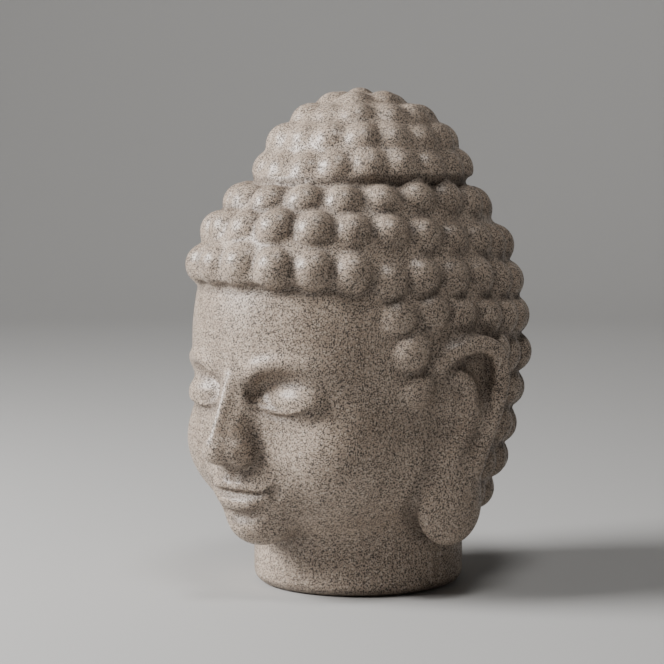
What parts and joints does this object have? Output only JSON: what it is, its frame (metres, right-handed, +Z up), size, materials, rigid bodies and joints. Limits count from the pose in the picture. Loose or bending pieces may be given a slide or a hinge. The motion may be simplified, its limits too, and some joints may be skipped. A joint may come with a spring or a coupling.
{
  "type": "stone buddha head",
  "caption": "Cast stone Buddha head ornament with closed eyes, snail-curl hair, a crown bump and long ear lobes, standing on its short round neck.",
  "frame": {"origin": "centre of the flat underside of the neck, on the surface that the head stands on", "axes": "+Z up, the face looks along -Y, and +X is the figure's left"},
  "size_m": [0.1388, 0.1599, 0.2],
  "materials": {
    "speckled_stone": "smooth, semi-matte beige-grey stone with fine dark and pale speckles"
  },
  "bodies": {
    "root": {"buddha_head": "speckled_stone"}
  },
  "joints": []
}
